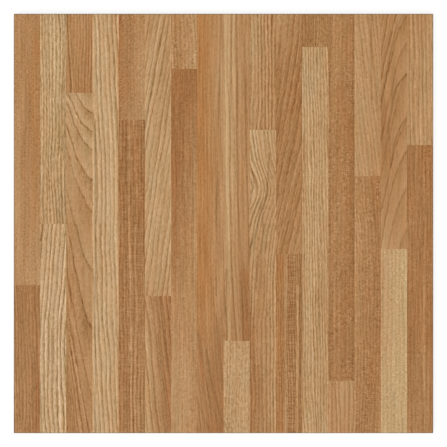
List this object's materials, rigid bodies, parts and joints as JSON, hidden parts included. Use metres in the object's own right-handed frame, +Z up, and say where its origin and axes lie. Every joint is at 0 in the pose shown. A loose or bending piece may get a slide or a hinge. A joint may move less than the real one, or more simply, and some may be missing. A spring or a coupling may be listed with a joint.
{
  "type": "wood-look floor tile",
  "caption": "Square glazed ceramic floor tile with a printed strip-parquet wood face, a softened arris and a ribbed, keyed back.",
  "frame": {"origin": "middle of the bedding side, on the plane that the tile rests on when it lies face up", "axes": "+Z up out of the glazed face, +Y along the printed boards, towards the picture's top, +X across them, towards the picture's right"},
  "size_m": [0.333, 0.333, 0.008],
  "materials": {
    "printed_glaze": "satin"
  },
  "bodies": {
    "root": {"tile": "printed_glaze"}
  },
  "joints": []
}
